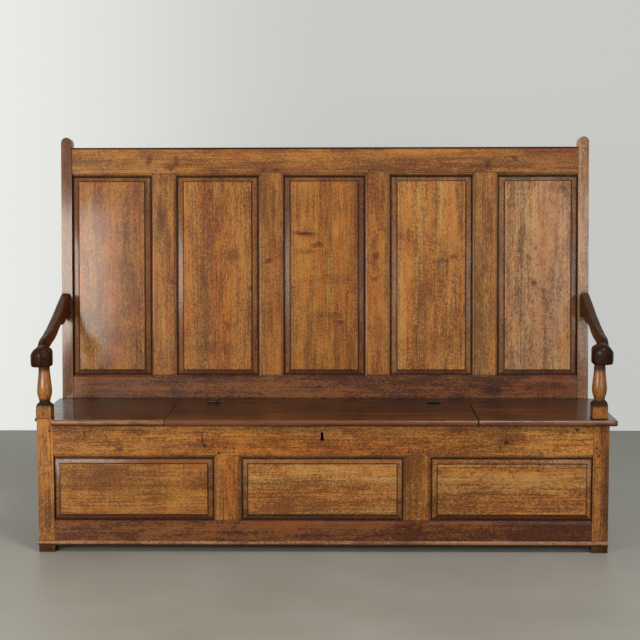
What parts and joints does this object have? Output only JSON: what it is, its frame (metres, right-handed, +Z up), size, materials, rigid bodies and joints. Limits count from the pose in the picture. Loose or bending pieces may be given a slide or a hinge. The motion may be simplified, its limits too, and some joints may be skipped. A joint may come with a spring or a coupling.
{
  "type": "settle bench",
  "caption": "Panelled wooden settle with a tall raked back, ogee arms on turned supports, and a lift-up seat lid over a storage box with a lock.",
  "frame": {"origin": "on the floor, under the middle of the whole bench: from its left knob to the right end of its seat, and from its seat's nosing to its back's top", "axes": "+X along the bench to the right of someone looking at its front, +Y to the back, +Z up"},
  "size_m": [1.9474, 0.5936, 1.3907],
  "materials": {
    "front_oak": "waxed, worn, satin",
    "back_oak": "waxed, worn, satin",
    "seat_oak": "waxed, dark, polished",
    "arm_oak": "waxed, dark, polished",
    "turned_oak": "waxed, glossy",
    "inner_oak": "dry, unwaxed",
    "bead_oak": "waxed, satin",
    "forged_iron": "dark wrought iron, worn"
  },
  "bodies": {
    "settle_frame": {"front_top_rail": "front_oak", "front_bottom_rail": "front_oak", "front_muntin_left": "front_oak", "front_muntin_right": "front_oak", "front_panel_left": "front_oak", "front_panel_centre": "front_oak", "front_panel_right": "front_oak", "front_post_left": "front_oak", "front_post_right": "front_oak", "side_top_rail_left": "front_oak", "side_bottom_rail_left": "front_oak", "side_panel_left": "front_oak", "side_top_rail_right": "front_oak", "side_bottom_rail_right": "front_oak", "side_panel_right": "front_oak", "back_top_rail": "back_oak", "back_seat_rail": "back_oak", "back_muntin_1": "back_oak", "back_muntin_2": "back_oak", "back_muntin_3": "back_oak", "back_muntin_4": "back_oak", "back_panel_1": "back_oak", "back_panel_2": "back_oak", "back_panel_3": "back_oak", "back_panel_4": "back_oak", "back_panel_5": "back_oak", "back_stile_left": "back_oak", "back_stile_right": "back_oak", "seat_end_left": "seat_oak", "seat_end_right": "seat_oak", "seat_rear_board": "seat_oak", "arm_left": "arm_oak", "arm_right": "arm_oak", "arm_support_left": "turned_oak", "arm_support_right": "turned_oak", "back_bottom_rail": "inner_oak", "back_board_lower": "inner_oak", "back_board_upper": "inner_oak", "seat_rear_bearer": "inner_oak", "seat_cross_rail_left": "inner_oak", "seat_cross_rail_right": "inner_oak", "floor_bearer_front": "inner_oak", "floor_bearer_rear": "inner_oak", "floor_board_1": "inner_oak", "floor_board_2": "inner_oak", "floor_board_3": "inner_oak", "base_moulding": "bead_oak", "hinge_fixed_leaf_left": "forged_iron", "hinge_fixed_leaf_right": "forged_iron", "hinge_pin_left": "forged_iron", "hinge_pin_right": "forged_iron", "lock_case": "forged_iron"},
    "lid": {"lid_front_board": "seat_oak", "lid_rear_board": "seat_oak", "lid_batten_left": "inner_oak", "lid_batten_right": "inner_oak", "hinge_lid_leaf_left": "forged_iron", "hinge_lid_leaf_right": "forged_iron", "lid_staple": "forged_iron"},
    "bolt": {"lock_bolt": "forged_iron"}
  },
  "joints": [
    {"name": "lid_hinge", "type": "hinge", "parent": "settle_frame", "child": "lid", "pos_m": [-0.00225, 0.07021, 0.4559], "axis": [-1, 0, 0], "range_deg": [0, 110]},
    {"name": "bolt_slide", "type": "slide", "parent": "settle_frame", "child": "bolt", "axis": [1, 0, 0], "range_m": [0, 0.012]}
  ]
}
